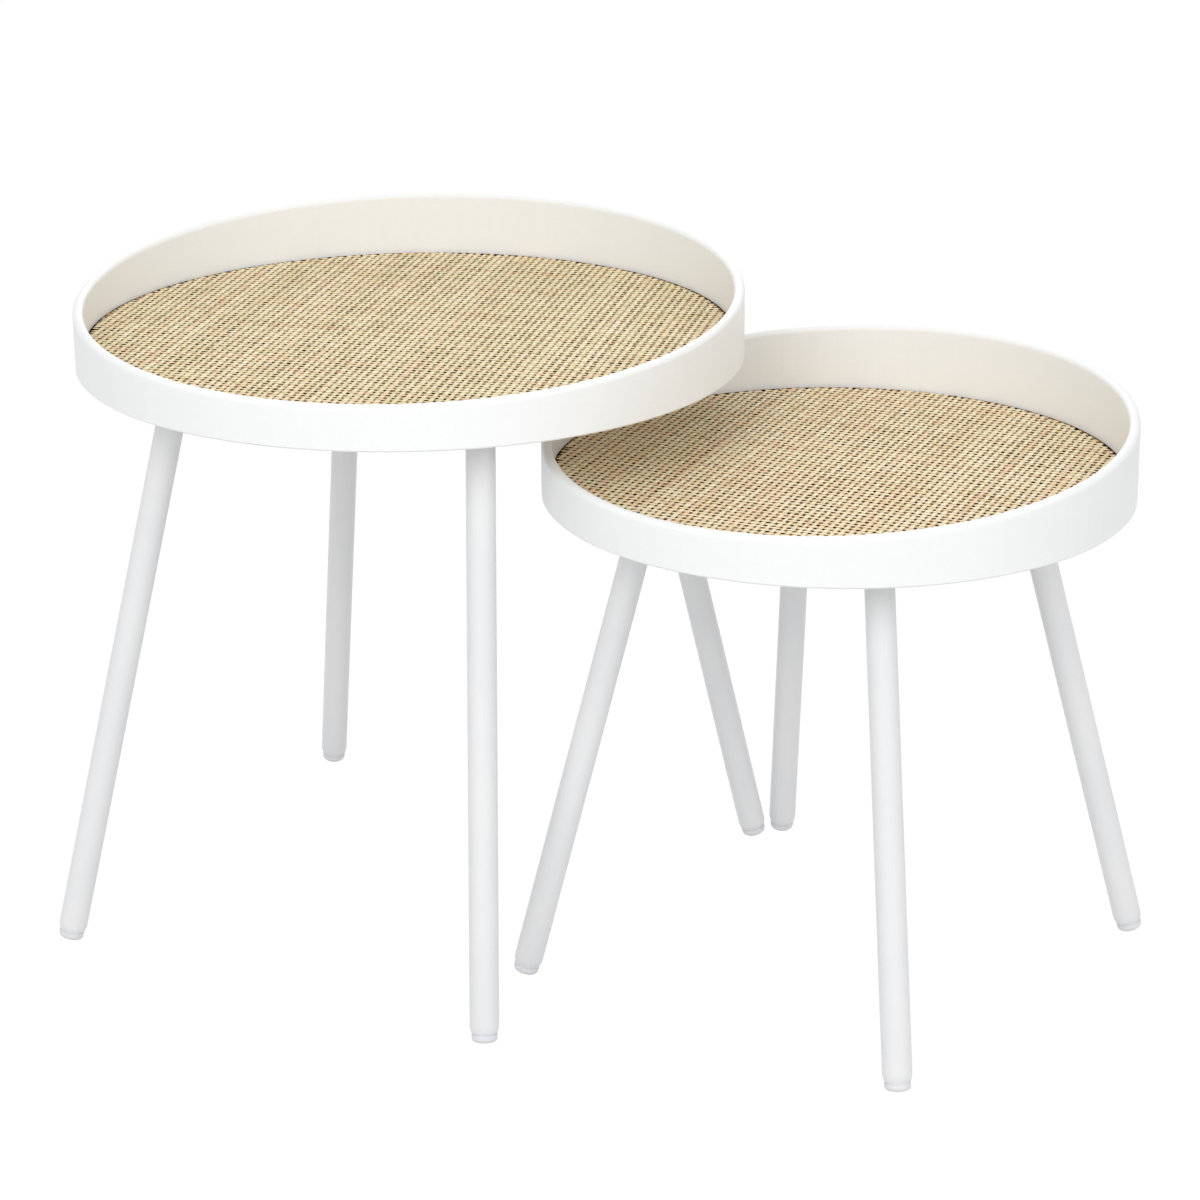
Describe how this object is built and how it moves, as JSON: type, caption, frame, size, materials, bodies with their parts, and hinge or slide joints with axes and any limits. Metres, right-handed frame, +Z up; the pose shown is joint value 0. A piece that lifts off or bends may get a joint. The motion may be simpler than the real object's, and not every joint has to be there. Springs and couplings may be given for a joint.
{
  "type": "nesting tables",
  "caption": "Round tray-top nesting tables with woven cane tops, sloping white hoop rims and splayed round tube legs; the smaller one slides partly under the larger.",
  "frame": {"origin": "on the floor, midway between the two trays' far edges, on the line that joins the two trays' centres", "axes": "+X from the large table's centre to the small table's centre, the way the small table pulls out; +Y to the back; +Z up"},
  "size_m": [0.7528, 0.47, 0.4742],
  "materials": {
    "white_lacquer": "satin warm-white lacquer over bent wood",
    "board_paint": "matt off-white paint on fibreboard",
    "woven_cane": "natural woven rattan webbing, matt",
    "powder_coat": "fine-textured matt white powder coat",
    "zinc_steel": "bright zinc-plated steel",
    "glide_plastic": "translucent white moulded plastic"
  },
  "bodies": {
    "large_table": {"large_hoop": "white_lacquer", "large_board": "board_paint", "large_cane": "woven_cane", "large_screws": "zinc_steel", "large_plate_0": "zinc_steel", "large_plate_1": "zinc_steel", "large_plate_2": "zinc_steel", "large_plate_3": "zinc_steel", "large_stud_0": "zinc_steel", "large_stud_1": "zinc_steel", "large_stud_2": "zinc_steel", "large_stud_3": "zinc_steel", "large_leg_0": "powder_coat", "large_leg_1": "powder_coat", "large_leg_2": "powder_coat", "large_leg_3": "powder_coat", "large_glide_0": "glide_plastic", "large_glide_1": "glide_plastic", "large_glide_2": "glide_plastic", "large_glide_3": "glide_plastic"},
    "small_table": {"small_hoop": "white_lacquer", "small_board": "board_paint", "small_cane": "woven_cane", "small_screws": "zinc_steel", "small_plate_0": "zinc_steel", "small_plate_1": "zinc_steel", "small_plate_2": "zinc_steel", "small_plate_3": "zinc_steel", "small_stud_0": "zinc_steel", "small_stud_1": "zinc_steel", "small_stud_2": "zinc_steel", "small_stud_3": "zinc_steel", "small_leg_0": "powder_coat", "small_leg_1": "powder_coat", "small_leg_2": "powder_coat", "small_leg_3": "powder_coat", "small_glide_0": "glide_plastic", "small_glide_1": "glide_plastic", "small_glide_2": "glide_plastic", "small_glide_3": "glide_plastic"}
  },
  "joints": [
    {"name": "small_table_pull", "type": "slide", "parent": "large_table", "child": "small_table", "axis": [1, 0, 0], "range_m": [0, 0.3]}
  ]
}
